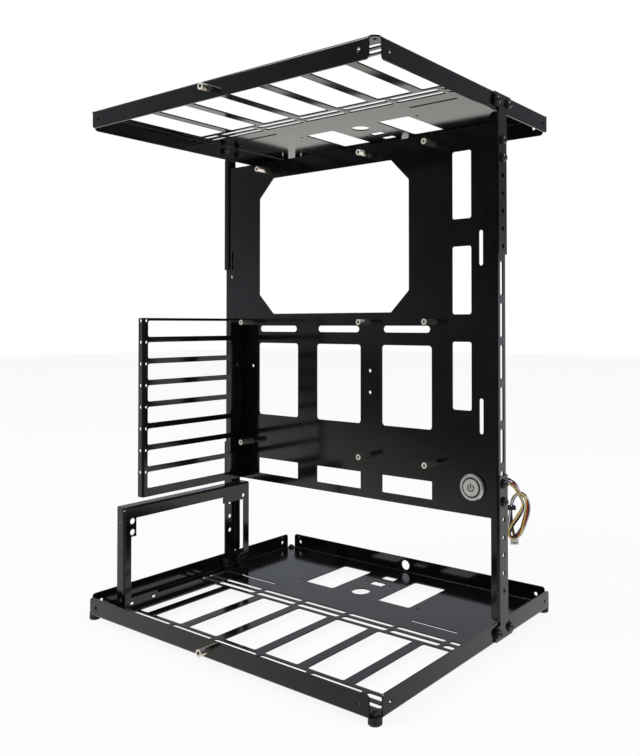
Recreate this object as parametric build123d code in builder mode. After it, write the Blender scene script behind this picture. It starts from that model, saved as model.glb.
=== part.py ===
from build123d import *

import os
from math import pi, radians, tan

os.makedirs("parts", exist_ok=True)

# An open air test bench: two folded trays, an upright board panel held between them by four
# angle brackets, a slot frame for expansion cards and a bracket for the power supply.
# Millimetres. X runs to the right, Y to the back, Z up. The floor is z = 0.

# Sheet metal
sheet = 1.2
bracket_sheet = 1.5
inside_bend = 0.8

# The board that the bench is built around, and the margins of the panel round it
board_width = 243.84
board_height = 304.8
board_left_margin = 32.4
board_right_margin = 55.8
board_top_margin = 3.7
board_bottom_margin = 24.3

# Frame
panel_gap_below = 101.0
panel_gap_above = 26.4
tray_depth = 275.0
panel_setback = 169.8
foot_height = 5.0
foot_diameter = 10.0

# Trays
flange_height = 16.0
corner_inset = 6.0
corner_relief = 0.8
flange_corner = 3.0
tray_corner = 8.5
end_hole_inset = 15.8
end_hole = 3.6
cable_hole = 10.0

# Fan field of a tray: vents between rows of mounting slots
fan_centre = 79.8
fan_120_pitch = 105.0
fan_140_pitch = 124.5
fan_120_slot = 6.5
fan_140_slot = 5.6
fan_slot_length = 50.0
fan_slot_bridge = 3.5
fan_slot_margin = 8.1
vent_width = 36.5
vent_pitch = 46.0
vent_length = 92.6
vent_margin = 8.1
vent_corner = 2.0

# Rear field of a tray, measured from the back face
drive_slot_to_back = 112.5
drive_slot_width = 3.5
rear_window_to_back = 55.9
rear_window_length = 65.6
rear_window_corner = 3.0
rear_hole_to_back = 78.5
rear_hole = 18.0
small_window_width = 15.8
small_window_length = 10.5
small_window_to_back = 40.0
small_window_pitch = 20.2
pilot_hole = 3.2
wide_pilot_half = 72.1
wide_pilot_to_back = 85.5
near_pilot_half = 14.85
near_pilot_to_back = 48.6

# Panel
panel_flange = 14.0
cooler_window_width = 190.5
cooler_window_height = 141.0
cooler_window_chamfer = 20.0
cooler_window_left = 19.1
cooler_window_top = 13.9
column_width = 55.0
column_pitch = 80.0
column_left = 19.1
tie_slot_length = 51.5
tie_slot_width = 6.2
tie_slot_drop = 170.4
cable_window_drop = 185.2
cable_window_height = 74.5
low_window_rise = 7.7
low_window_height = 16.1
side_window_offset = 11.5
side_window_width = 19.2
side_window_height = 59.0
side_window_drop = 44.9
side_window_pitch = 82.9
strap_slot_left = 10.0
strap_slot_right = 15.7
strap_slot_length = 30.4
strap_slot_width = 4.0
strap_slot_drop = 100.7
strap_slot_pitch = 143.6
window_corner = 3.0

# Slots in the side flanges of the panel
ladder_slot_length = 29.6
ladder_slot_width = 5.2
ladder_slot_start = 9.8
ladder_slot_count = 9
row_setback = 7.5

# Board stand-offs, columns from the board's rear edge and rows from its top edge
rear_column = 10.16
second_column = 33.02
middle_column = 165.10
front_column = 237.49
top_row = 6.35
middle_row = 163.83
bottom_row = 288.29
small_board_row = 209.55
middle_board_row = 229.87
standoff_flats = 5.0
standoff_length = 17.8
standoff_land = 12.0
pillar_diameter = 6.0
pillar_length = 10.0
tapped_depth = 8.0
tapped_hole = 2.5
screw_reach = 6.0

# Angle brackets
bracket_end_margin = 7.2
bracket_side = 16.0
bracket_front = 7.5
bracket_front_gap = 0.6
bracket_front_corner = 4.0
bracket_hole = 4.5
bracket_hole_pitch = 15.0
bracket_hole_count = 7
screw_pair_shift = 3.5
ear_lift = 0.8
ear_height = 13.0
ear_half_width = 15.2
ear_screw_half = 10.0
ear_screw_height = 7.2
ear_corner = 1.5
ear_shoulder = 5.5
ear_fillet = 2.0

# Slot frame
slot_face_left = 30.3
slot_frame_front = 39.4
slot_count = 8
slot_pitch = 20.32
slot_height = 15.2
slot_drop = 162.4
slot_top_bar = 2.6
slot_bottom_bar = 7.9
slot_lip = 7.4
slot_lip_bar = 5.4
slot_rear_post = 20.4
slot_rear_flange = 12.0
slot_corner = 2.0
slot_screw_hole = 3.5
slot_hook_hole = 2.6
slot_fixing_inset = 12.0
slot_fixing_setback = 7.0

# Power supply bracket
psu_face_left = 38.0
psu_front = 13.5
psu_length = 155.0
psu_height = 97.2
psu_flange = 12.0
psu_lip = 10.0
psu_seam = 0.4
psu_foot = 18.0
psu_foot_hole = 11.0
psu_corner = 3.2
psu_window_front = 8.0
psu_window_length = 139.5
psu_window_height = 76.0
psu_window_rise = 10.2
psu_hole_front = 9.4
psu_hole_rise = 9.8
psu_columns = 138.0
psu_rows = 74.0
psu_second_row = 10.0
psu_second_column = 24.0
psu_hole = 4.0
psu_land = 4.0
psu_lip_hole_inset = 7.2
psu_lip_hole_rise = 83.0
psu_lip_hole = 2.4
psu_wide_hole = 5.5

# Power button
button_right = 24.0
button_rise = 24.0
button_bezel = 23.0
button_barrel = 18.8
button_barrel_length = 18.0
bezel_thickness = 2.4
bezel_edge = 0.8
seal_thickness = 0.8
cap_diameter = 14.6
cap_thickness = 3.0
cap_proud = 0.8
cap_travel = 2.3
cap_clearance = 0.3
ring_wall = 1.2
ring_recess = 0.3
web_thickness = 2.0
stem_diameter = 6.0
stem_length = 7.0
rear_bore_wall = 1.3
button_nut_flats = 22.0
button_nut_thickness = 3.0
switch_tail = 3.0
wire_plug_diameter = 14.0
wire_plug_length = 9.0

# Lead and hank
lead_diameter = 2.4
lead_route = ((0, 0, 0), (0, 9, 0), (6.5, 16.5, 1.2), (13, 19.2, 1), (18, 20.2, -4.5), (18, 20.2, -11.5))
hank_strand = 6.0
hank_width = 20.0
hank_height = 37.0
hank_turn = 37.0
strand_rounding = 0.45
hank_neck_diameter = 4.0
hank_neck_length = 1.5
tie_wall = 0.7
tie_width = 3.0
tie_rise = 6.0
end_plug_width = 7.0
end_plug_depth = 3.5
end_plug_height = 5.0
end_plug_side = 4.0

# Fasteners
m3 = 2.9
m3_head = 5.6
m3_head_height = 2.1
m3_washer = 7.0
m3_nut_flats = 5.5
m3_nut_thickness = 2.4
m4 = 3.9
m4_head = 7.6
m4_head_height = 2.6
m4_washer = 9.0
m4_nut_flats = 7.0
m4_nut_thickness = 3.2
washer_thickness = 0.8
head_taper = 0.75
thread_past_nut = 1.0
foot_counterbore = 2.5
foot_groove = 0.6

# Clearances
hole_clearance = 0.4
bore_clearance = 0.1
slide_clearance = 0.3

# Levels and lines that follow from the sizes
panel_width = board_left_margin + board_width + board_right_margin
panel_height = board_bottom_margin + board_height + board_top_margin
tray_width = panel_width
frame_height = panel_gap_below + panel_height + panel_gap_above
half_width = tray_width / 2
bend = inside_bend + sheet
tray_under = foot_height
tray_floor = foot_height + sheet
frame_top = foot_height + frame_height
frame_middle = foot_height + frame_height / 2
front_y = (pillar_length - tray_depth) / 2
back_y = front_y + tray_depth
tray_middle_y = (front_y + back_y) / 2
panel_y = front_y + panel_setback
panel_back_y = panel_y + sheet
panel_bottom = tray_under + panel_gap_below
panel_top = panel_bottom + panel_height
panel_middle = (panel_bottom + panel_top) / 2
board_left = board_left_margin - half_width
board_top = panel_top - board_top_margin
row_y = panel_y + row_setback
standoff_rows = (
    (top_row, (second_column, middle_column, front_column)),
    (middle_row, (rear_column, middle_column, front_column)),
    (bottom_row, (rear_column, middle_column, front_column)),
)
standoff_places = [
    (board_left + column, board_top - row) for row, columns in standoff_rows for column in columns
]
spare_board_holes = [
    (board_left + rear_column, board_top - small_board_row),
    (board_left + middle_column, board_top - small_board_row),
    (board_left + middle_column, board_top - middle_board_row),
]
flange_end = corner_inset + corner_relief
foot_places = [
    (side * (half_width - corner_inset), y)
    for side in (-1, 1)
    for y in (front_y + corner_inset, back_y - corner_inset)
]

# A pair of screws joins each bracket to the panel, in the nearest slot of the panel's flange
low_slot_z = panel_bottom + ladder_slot_start + ladder_slot_length / 2
bracket_first_z = low_slot_z - screw_pair_shift - bracket_hole_pitch * (bracket_hole_count - 1.5)
bracket_hole_zs = [bracket_first_z + k * bracket_hole_pitch for k in range(bracket_hole_count)]
bracket_top = bracket_hole_zs[-1] + bracket_end_margin
upper_hole_zs = [2 * frame_middle - z for z in bracket_hole_zs]
high_slot_z = (upper_hole_zs[0] + upper_hole_zs[1]) / 2 - screw_pair_shift
ladder_slot_pitch = (high_slot_z - low_slot_z) / (ladder_slot_count - 1)
panel_screw_zs = bracket_hole_zs[-2:] + upper_hole_zs[:2]
ear_screw_z = tray_under + ear_screw_height
ear_screw_places = [
    (row_y + step * ear_screw_half, z)
    for step in (-1, 1)
    for z in (ear_screw_z, 2 * frame_middle - ear_screw_z)
]

# Slot rows of a tray
fan_slot_step = fan_slot_length + fan_slot_bridge
fan_slot_reach = half_width - fan_slot_margin
fan_slot_side_count = int((fan_slot_reach - fan_slot_length / 2) // fan_slot_step)
end_slot_inner = fan_slot_side_count * fan_slot_step + fan_slot_length / 2 + fan_slot_bridge
end_slot_length = fan_slot_reach - end_slot_inner
end_slot_x = end_slot_inner + end_slot_length / 2
fan_y = front_y + fan_centre
vent_reach = half_width - vent_margin
vent_side_count = int((vent_reach - vent_width / 2) // vent_pitch)
end_vent_inner = (vent_side_count + 1) * vent_pitch - vent_width / 2
end_vent_width = vent_reach - end_vent_inner

# Slot frame and power supply bracket
slot_x = slot_face_left - half_width
slot_front_y = front_y + slot_frame_front
slot_first_top = board_top - slot_drop
slot_tops = [slot_first_top - k * slot_pitch for k in range(slot_count)]
slot_frame_top = slot_first_top + slot_top_bar
slot_frame_bottom = slot_tops[-1] - slot_height - slot_bottom_bar
slot_open_front = slot_front_y + slot_lip_bar
slot_open_back = panel_y - slot_rear_post
slot_frame_height = slot_frame_top - slot_frame_bottom
slot_fixing_x = slot_x - slot_fixing_setback
slot_fixing_zs = (
    slot_frame_bottom + slot_fixing_inset,
    (slot_frame_bottom + slot_frame_top) / 2,
    slot_frame_top - slot_fixing_inset,
)
psu_x = psu_face_left - half_width
psu_front_y = front_y + psu_front
psu_back_y = psu_front_y + psu_length
psu_top = tray_floor + psu_height
psu_column_y = psu_front_y + psu_hole_front
psu_row_z = tray_floor + psu_hole_rise
psu_fixing_x = psu_x - psu_foot_hole
psu_fixing_ys = [fan_y + step * fan_120_pitch / 2 for step in (-1, 1)]

# Power button
button_x = half_width - button_right
button_z = panel_bottom + button_rise
bezel_front = -seal_thickness - bezel_thickness
cap_front = bezel_front - cap_proud
cap_back = cap_front + cap_thickness
web_front = cap_back + cap_travel + slide_clearance
web_back = web_front + web_thickness
cap_radius = cap_diameter / 2
ring_inner = cap_radius + cap_clearance
ring_outer = ring_inner + ring_wall
front_bore = ring_outer + bore_clearance
barrel_radius = button_barrel / 2
rear_bore = barrel_radius - rear_bore_wall
stem_radius = stem_diameter / 2
stem_end = cap_back + stem_length
pocket_end = stem_end + cap_travel + slide_clearance
barrel_end = button_barrel_length
switch_end = barrel_end + switch_tail
plug_end = switch_end + wire_plug_length

right = Vector(1, 0, 0)
back = Vector(0, 1, 0)
up = Vector(0, 0, 1)
from_corner = (Align.MIN, Align.MIN)
below_line = (Align.CENTER, Align.MAX)
above_seat = (Align.CENTER, Align.CENTER, Align.MIN)
below_seat = (Align.CENTER, Align.CENTER, Align.MAX)


def side_plane(x):
    """A plane that faces right, with local x towards the back and local y up."""
    return Plane((x, 0, 0), x_dir=back, z_dir=right)


def front_plane(y):
    """A plane that faces the front, with local x to the right and local y up."""
    return Plane((0, y, 0), x_dir=right, z_dir=-back)


def fold(corner, along, outward, length, height, thickness, rounding):
    """Bend one edge of a sheet into a wall, with the wall's free corners rounded."""
    outer = inside_bend + thickness
    with BuildSketch(Plane(corner, x_dir=-outward, z_dir=along)) as curve:
        with Locations((outer, outer)):
            Circle(outer)
            Circle(inside_bend, mode=Mode.SUBTRACT)
        Rectangle(outer, outer, align=from_corner, mode=Mode.INTERSECT)
    extrude(curve.sketch, amount=length)
    with BuildSketch(Plane(corner, x_dir=along, z_dir=outward)) as wall:
        with Locations((0, outer)):
            Rectangle(length, height - outer, align=from_corner)
        fillet(wall.vertices().group_by(Axis.Y)[-1], rounding)
    extrude(wall.sketch, amount=-thickness)


def screw(seat, length, diameter, head, head_height):
    """A pan-head screw: the head stands on the seat and the shank goes below it."""
    with Locations(seat):
        Cone(head / 2, head / 2 * head_taper, head_height, align=above_seat)
        Cylinder(diameter / 2, length, align=below_seat)


def washer(seat, outer, diameter):
    with BuildSketch(seat) as ring:
        Circle(outer / 2)
        Circle(diameter / 2 + bore_clearance, mode=Mode.SUBTRACT)
    extrude(ring.sketch, amount=washer_thickness)


def hex_nut(seat, flats, thickness, diameter):
    with BuildSketch(seat) as outline:
        RegularPolygon(flats / 2, 6, major_radius=False)
        Circle(diameter / 2 + bore_clearance, mode=Mode.SUBTRACT)
    extrude(outline.sketch, amount=thickness)


def finish(piece, name):
    """Label a piece and write it to its own file."""
    piece.part.label = name
    export_step(piece.part, f"parts/{name}.step")


# Bottom tray: a plate with four folded edges, open at its corners for the feet
with BuildPart() as bottom_tray:
    with BuildSketch(Plane.XY.offset(tray_under)) as plate:
        with Locations((0, tray_middle_y)):
            RectangleRounded(tray_width, tray_depth, tray_corner)
            with GridLocations(tray_width - bend, 0, 2, 1):
                Rectangle(bend, tray_depth - 2 * corner_inset, mode=Mode.SUBTRACT)
            with GridLocations(0, tray_depth - bend, 1, 2):
                Rectangle(tray_width - 2 * corner_inset, bend, mode=Mode.SUBTRACT)
        with Locations(*foot_places):
            Circle((m3 + hole_clearance) / 2, mode=Mode.SUBTRACT)
    extrude(amount=sheet)
    wide = tray_width - 2 * flange_end
    deep = tray_depth - 2 * flange_end
    edges = (
        ((-wide / 2, front_y, tray_under), right, -back, wide),
        ((half_width, front_y + flange_end, tray_under), back, right, deep),
        ((wide / 2, back_y, tray_under), -right, back, wide),
        ((-half_width, back_y - flange_end, tray_under), -back, -right, deep),
    )
    for corner, along, outward, length in edges:
        fold(corner, along, outward, length, flange_height, sheet, flange_corner)

    # Fan field: vents, and rows of slots for two sizes of fan
    with BuildSketch(Plane.XY.offset(tray_under)) as fan_field:
        for pitch, width in ((fan_120_pitch, fan_120_slot), (fan_140_pitch, fan_140_slot)):
            for y in (fan_y - pitch / 2, fan_y + pitch / 2):
                with Locations((0, y)):
                    with GridLocations(fan_slot_step, 0, 2 * fan_slot_side_count + 1, 1):
                        SlotOverall(fan_slot_length, width)
                    if end_slot_length > width:
                        with GridLocations(2 * end_slot_x, 0, 2, 1):
                            SlotOverall(end_slot_length, width)
        with Locations((0, fan_y)):
            with GridLocations(vent_pitch, 0, 2 * vent_side_count + 1, 1):
                RectangleRounded(vent_width, vent_length, vent_corner)
            if end_vent_width > 2 * vent_corner:
                with GridLocations(2 * end_vent_inner + end_vent_width, 0, 2, 1):
                    RectangleRounded(end_vent_width, vent_length, vent_corner)
    extrude(amount=sheet, mode=Mode.SUBTRACT)

    # Rear field: drive slots, cable windows and small holes
    with BuildSketch(Plane.XY.offset(tray_under)) as rear_field:
        with Locations((0, back_y - drive_slot_to_back)):
            with GridLocations(2 * fan_slot_side_count * fan_slot_step, 0, 2, 1):
                SlotOverall(fan_slot_length, drive_slot_width)
        with Locations((0, back_y - rear_window_to_back)):
            with GridLocations(2 * vent_pitch, 0, 2, 1):
                RectangleRounded(vent_width, rear_window_length, rear_window_corner)
        with Locations((0, back_y - rear_hole_to_back)):
            Circle(rear_hole / 2)
        with Locations((0, back_y - small_window_to_back)):
            with GridLocations(0, small_window_pitch, 1, 2):
                Rectangle(small_window_width, small_window_length)
        with Locations((0, back_y - wide_pilot_to_back)):
            with GridLocations(2 * wide_pilot_half, 0, 2, 1):
                Circle(pilot_hole / 2)
        with Locations((0, back_y - near_pilot_to_back)):
            with GridLocations(2 * near_pilot_half, 0, 2, 1):
                Circle(pilot_hole / 2)
    extrude(amount=sheet, mode=Mode.SUBTRACT)

    # Holes in the folded edges
    middle_z = tray_under + flange_height / 2
    with BuildSketch(front_plane(front_y)) as end_holes:
        with Locations((0, middle_z)):
            with GridLocations(tray_width - 2 * end_hole_inset, 0, 2, 1):
                Circle(end_hole / 2)
    extrude(amount=-tray_depth, mode=Mode.SUBTRACT)
    with BuildSketch(front_plane(front_y)) as pillar_screw_hole:
        with Locations((0, middle_z)):
            Circle((m3 + hole_clearance) / 2)
    extrude(amount=-bend, mode=Mode.SUBTRACT)
    with BuildSketch(front_plane(back_y)) as cable_outlet:
        with Locations((0, middle_z)):
            Circle(cable_hole / 2)
    extrude(amount=bend, mode=Mode.SUBTRACT)
    with BuildSketch(side_plane(half_width)) as side_holes:
        with Locations((tray_middle_y, middle_z)):
            with GridLocations(tray_depth - 2 * end_hole_inset, 0, 2, 1):
                Circle(end_hole / 2)
        with Locations((row_y, ear_screw_z)):
            with GridLocations(2 * ear_screw_half, 0, 2, 1):
                Circle((m4 + hole_clearance) / 2)
    extrude(amount=-tray_width, mode=Mode.SUBTRACT)
finish(bottom_tray, "bottom_tray")

# Top tray: the same tray turned upside down
with BuildPart() as top_tray:
    with Locations((0, 0, 2 * frame_middle)):
        add(bottom_tray.part, rotation=(0, 180, 0))
finish(top_tray, "top_tray")

# Board panel: an upright plate with its sides folded back
with BuildPart() as motherboard_panel:
    with BuildSketch(front_plane(panel_y)) as plate:
        with Locations((0, panel_middle)):
            Rectangle(panel_width - 2 * bend, panel_height)
        columns = [board_left + column_left + (k + 0.5) * column_width for k in range(3)]
        columns = [x + k * (column_pitch - column_width) for k, x in enumerate(columns)]
        for x in columns:
            with Locations((x, board_top - tie_slot_drop)):
                SlotOverall(tie_slot_length, tie_slot_width, mode=Mode.SUBTRACT)
            with Locations((x, board_top - cable_window_drop - cable_window_height / 2)):
                RectangleRounded(column_width, cable_window_height, window_corner, mode=Mode.SUBTRACT)
            with Locations((x, panel_bottom + low_window_rise + low_window_height / 2)):
                Rectangle(column_width, low_window_height, mode=Mode.SUBTRACT)
        side_window_x = board_left + board_width + side_window_offset + side_window_width / 2
        for k in range(3):
            with Locations((side_window_x, board_top - side_window_drop - k * side_window_pitch)):
                RectangleRounded(side_window_width, side_window_height, vent_corner, mode=Mode.SUBTRACT)
        for k in range(2):
            strap_z = board_top - strap_slot_drop - k * strap_slot_pitch
            with Locations((strap_slot_left - half_width, strap_z), (half_width - strap_slot_right, strap_z)):
                SlotOverall(strap_slot_length, strap_slot_width, rotation=90, mode=Mode.SUBTRACT)
        with Locations(*standoff_places, *[(slot_fixing_x, z) for z in slot_fixing_zs]):
            Circle((m3 + hole_clearance) / 2, mode=Mode.SUBTRACT)
        with Locations(*spare_board_holes):
            Circle(pilot_hole / 2, mode=Mode.SUBTRACT)
        with Locations((button_x, button_z)):
            Circle((button_barrel + hole_clearance) / 2, mode=Mode.SUBTRACT)
    extrude(amount=-sheet)
    with BuildSketch(front_plane(panel_y)) as cooler_window:
        corner = (board_left + cooler_window_left, board_top - cooler_window_top - cooler_window_height)
        with Locations(corner):
            Rectangle(cooler_window_width, cooler_window_height, align=from_corner)
        chamfer(cooler_window.vertices(), cooler_window_chamfer)
        # Each stand-off of the middle row keeps a land of sheet round it, however low the window reaches
        for column in standoff_rows[1][1]:
            with Locations((board_left + column, board_top - middle_row + standoff_land / 2)):
                Rectangle(standoff_land, cooler_window_height, align=below_line, mode=Mode.SUBTRACT)
    extrude(amount=-sheet, mode=Mode.SUBTRACT)
    fold((half_width, panel_y, panel_top), -up, right, panel_height, panel_flange, sheet, bend)
    fold((-half_width, panel_y, panel_bottom), up, -right, panel_height, panel_flange, sheet, bend)
    with BuildSketch(side_plane(half_width)) as ladder:
        with Locations((row_y, (low_slot_z + high_slot_z) / 2)):
            with GridLocations(0, ladder_slot_pitch, 1, ladder_slot_count):
                SlotOverall(ladder_slot_length, ladder_slot_width, rotation=90)
    extrude(amount=-panel_width, mode=Mode.SUBTRACT)
finish(motherboard_panel, "motherboard_panel")

# Angle bracket: a side leg with spread ears on the tray and a narrow leg in front of the panel
bracket_bend = inside_bend + bracket_sheet
bracket_x = half_width + bracket_sheet
bracket_front_y = panel_y - bracket_sheet
bracket_back_y = bracket_front_y + bracket_side
bracket_front_z = tray_under + flange_height + bracket_front_gap
with BuildPart() as lower_right_bracket:
    with BuildSketch(side_plane(bracket_x)) as side_leg:
        with BuildLine() as outline:
            Polyline(
                (row_y - ear_half_width, tray_under + ear_lift),
                (row_y + ear_half_width, tray_under + ear_lift),
                (row_y + ear_half_width, tray_under + ear_height),
                (bracket_back_y, tray_under + ear_height),
                (bracket_back_y, bracket_top),
                (bracket_front_y + bracket_bend, bracket_top),
                (bracket_front_y + bracket_bend, tray_under + ear_height),
                (row_y - ear_half_width, tray_under + ear_height),
                close=True,
            )
        make_face()
        shoulders = side_leg.vertices().group_by(Axis.Y)[1].sort_by(Axis.X)
        fillet((shoulders[0], shoulders[-1]), ear_shoulder)
        fillet(shoulders[-2], ear_fillet)
        fillet(side_leg.vertices().group_by(Axis.Y)[0], ear_corner)
        with Locations(*[(row_y, z) for z in bracket_hole_zs]):
            Circle(bracket_hole / 2, mode=Mode.SUBTRACT)
        with Locations((row_y, ear_screw_z)):
            with GridLocations(2 * ear_screw_half, 0, 2, 1):
                Circle((m4 + hole_clearance) / 2, mode=Mode.SUBTRACT)
    extrude(amount=-bracket_sheet)
    fold(
        (bracket_x, bracket_front_y, bracket_front_z),
        up,
        -back,
        bracket_top - bracket_front_z,
        bracket_front,
        bracket_sheet,
        bracket_front_corner,
    )
finish(lower_right_bracket, "lower_right_bracket")

# The lower left bracket is turned round, so its narrow leg stands behind the panel
with BuildPart() as lower_left_bracket:
    add(lower_right_bracket.part.rotate(Axis((0, row_y, 0), (0, 0, 1)), 180))
finish(lower_left_bracket, "lower_left_bracket")

with BuildPart() as upper_right_bracket:
    mirror(lower_right_bracket.part, about=Plane.XY.offset(frame_middle))
finish(upper_right_bracket, "upper_right_bracket")

with BuildPart() as upper_left_bracket:
    mirror(upper_right_bracket.part, about=Plane.YZ)
finish(upper_left_bracket, "upper_left_bracket")

# Slot frame: a ladder of card openings, with a front lip for the card screws
with BuildPart() as slot_frame:
    with BuildSketch(side_plane(slot_x)) as plate:
        with Locations((slot_front_y + bend, slot_frame_bottom)):
            Rectangle(panel_y - slot_front_y - 2 * bend, slot_frame_height, align=from_corner)
        for top in slot_tops:
            with Locations(((slot_open_front + slot_open_back) / 2, top - slot_height / 2)):
                RectangleRounded(
                    slot_open_back - slot_open_front, slot_height, slot_corner, mode=Mode.SUBTRACT
                )
        with Locations(*[((slot_front_y + bend + slot_open_front) / 2, z) for z in slot_tops]):
            Circle(slot_hook_hole / 2, mode=Mode.SUBTRACT)
    extrude(amount=-sheet)
    fold(
        (slot_x, slot_front_y, slot_frame_bottom),
        up,
        -back,
        slot_frame_height,
        slot_lip,
        sheet,
        sheet,
    )
    fold(
        (slot_x, panel_y, slot_frame_top),
        -up,
        back,
        slot_frame_height,
        slot_rear_flange,
        sheet,
        sheet,
    )
    with BuildSketch(front_plane(slot_front_y)) as lip_holes:
        with Locations(*[(slot_x - (bend + slot_lip) / 2, z) for z in slot_tops]):
            Circle(slot_screw_hole / 2)
    extrude(amount=-sheet, mode=Mode.SUBTRACT)
    with BuildSketch(front_plane(panel_y)) as fixing_holes:
        with Locations(*[(slot_fixing_x, z) for z in slot_fixing_zs]):
            Circle((m3 + hole_clearance) / 2)
    extrude(amount=sheet, mode=Mode.SUBTRACT)
finish(slot_frame, "slot_frame")

# Power supply bracket: a window frame with lands round the power supply's screw holes
with BuildPart() as psu_bracket:
    with BuildSketch(side_plane(psu_x)) as plate:
        with Locations(((psu_front_y + psu_back_y) / 2, (tray_floor + psu_top) / 2)):
            RectangleRounded(psu_length, psu_height, bend)
        with Locations((psu_front_y, tray_floor + psu_corner - corner_relief)):
            front_cut = psu_height - 2 * (psu_corner - corner_relief)
            Rectangle(bend, front_cut, align=from_corner, mode=Mode.SUBTRACT)
        for z in (tray_floor, psu_top - bend):
            with Locations((psu_front_y + psu_corner - corner_relief, z)):
                Rectangle(psu_length, bend, align=from_corner, mode=Mode.SUBTRACT)
        window_front = psu_front_y + psu_window_front
        window_back = window_front + psu_window_length
        window_bottom = tray_floor + psu_window_rise
        window_top = window_bottom + psu_window_height
        with Locations((window_front, window_bottom)):
            Rectangle(psu_window_length, psu_window_height, align=from_corner, mode=Mode.SUBTRACT)
        far_y = psu_column_y + psu_columns
        high_z = psu_row_z + psu_rows
        lands = (
            (window_front, psu_column_y + psu_second_column + psu_land, window_bottom, psu_row_z + psu_land),
            (window_front, psu_column_y + psu_land, high_z - psu_second_row - psu_land, window_top),
            (far_y - psu_second_column - psu_land, window_back, high_z - psu_land, window_top),
            (far_y - psu_land, window_back, window_bottom, psu_row_z + psu_second_row + psu_land),
        )
        for y0, y1, z0, z1 in lands:
            with Locations((y0, z0)):
                Rectangle(y1 - y0, z1 - z0, align=from_corner)
        narrow = (
            (psu_column_y, psu_row_z),
            (psu_column_y + psu_second_column, psu_row_z),
            (far_y, high_z),
            (far_y, psu_row_z),
            (far_y, psu_row_z + psu_second_row),
        )
        with Locations(*narrow):
            Circle(psu_hole / 2, mode=Mode.SUBTRACT)
        with Locations((psu_column_y, high_z), (psu_column_y, high_z - psu_second_row)):
            Circle(psu_wide_hole / 2, mode=Mode.SUBTRACT)
    extrude(amount=-sheet)
    run = psu_length - psu_corner
    rise = psu_height - 2 * psu_corner
    fold((psu_x, psu_front_y, tray_floor + psu_corner), up, -back, rise, psu_lip, sheet, bend)
    fold((psu_x, psu_front_y + psu_corner, psu_top), back, up, run, psu_flange, sheet, bend)
    fold((psu_x, psu_back_y, tray_floor), -back, -up, run, psu_foot, sheet, bend)
    with BuildSketch(Plane.XY.offset(tray_floor)) as foot_holes:
        with Locations(*[(psu_fixing_x, y) for y in psu_fixing_ys]):
            Circle((m3 + hole_clearance) / 2)
    extrude(amount=sheet, mode=Mode.SUBTRACT)
    # The front lip and the top flange close the corner, with a seam between them
    with BuildSketch(front_plane(psu_front_y)):
        with Locations((psu_x - psu_lip, psu_top - psu_corner - bend)):
            Rectangle(psu_lip - bend, psu_corner + bend, align=from_corner)
    extrude(amount=-sheet)
    with BuildSketch(Plane.XY.offset(psu_top)):
        with Locations((psu_x - psu_flange, psu_front_y + sheet + psu_seam)):
            Rectangle(psu_flange - bend, psu_corner + bend - sheet - psu_seam, align=from_corner)
    extrude(amount=-sheet)
    with BuildSketch(front_plane(psu_front_y)) as lip_hole:
        with Locations((psu_x - psu_lip_hole_inset, tray_floor + psu_lip_hole_rise)):
            Circle(psu_lip_hole / 2)
    extrude(amount=-sheet, mode=Mode.SUBTRACT)
finish(psu_bracket, "psu_bracket")

# Board stand-offs: hexagonal, tapped at both ends, each held by a screw from behind the panel
for number, (x, z) in enumerate(standoff_places, start=1):
    base = Plane((x, panel_y, z), x_dir=right, z_dir=-back)
    with BuildPart() as standoff:
        with BuildSketch(base):
            RegularPolygon(standoff_flats / 2, 6, major_radius=False)
        extrude(amount=standoff_length)
        with BuildSketch(base):
            Circle(m3 / 2 + bore_clearance)
        extrude(amount=tapped_depth, mode=Mode.SUBTRACT)
        with BuildSketch(base.offset(standoff_length)):
            Circle(tapped_hole / 2)
        extrude(amount=-tapped_depth, mode=Mode.SUBTRACT)
    finish(standoff, f"standoff_{number}")

with BuildPart() as standoff_screws:
    for x, z in standoff_places:
        seat = Plane((x, panel_back_y, z), x_dir=right, z_dir=back)
        screw(seat, sheet + screw_reach, m3, m3_head, m3_head_height)
finish(standoff_screws, "standoff_screws")

# Pillars in the middle of each tray's front edge
pillar_zs = {"lower": middle_z, "upper": 2 * frame_middle - middle_z}
for name, z in pillar_zs.items():
    base = Plane((0, front_y, z), x_dir=right, z_dir=-back)
    with BuildPart() as pillar:
        with BuildSketch(base):
            Circle(pillar_diameter / 2)
            Circle(m3 / 2 + bore_clearance, mode=Mode.SUBTRACT)
        extrude(amount=pillar_length)
    finish(pillar, f"{name}_front_pillar")

with BuildPart() as pillar_screws:
    for z in pillar_zs.values():
        seat = Plane((0, front_y + sheet, z), x_dir=right, z_dir=back)
        screw(seat, sheet + screw_reach, m3, m3_head, m3_head_height)
finish(pillar_screws, "pillar_screws")

# Feet: grooved discs, each screwed to a corner of the bottom tray
foot_names = ("left_front_foot", "left_rear_foot", "right_front_foot", "right_rear_foot")
foot_radius = foot_diameter / 2
groove_z = foot_height / 2
for name, (x, y) in zip(foot_names, foot_places):
    with BuildPart() as foot:
        with BuildSketch(Plane((x, y, 0), x_dir=right, z_dir=-back)):
            with BuildLine():
                Polyline(
                    ((m3 + hole_clearance) / 2, foot_counterbore),
                    ((m3 + hole_clearance) / 2, foot_height),
                    (foot_radius, foot_height),
                    (foot_radius, groove_z + foot_groove),
                    (foot_radius - foot_groove, groove_z),
                    (foot_radius, groove_z - foot_groove),
                    (foot_radius, foot_groove),
                    (foot_radius - foot_groove, 0),
                    (m3_head / 2 + slide_clearance, 0),
                    (m3_head / 2 + slide_clearance, foot_counterbore),
                    close=True,
                )
            make_face()
        revolve(axis=Axis((x, y, 0), (0, 0, 1)))
    finish(foot, name)

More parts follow.
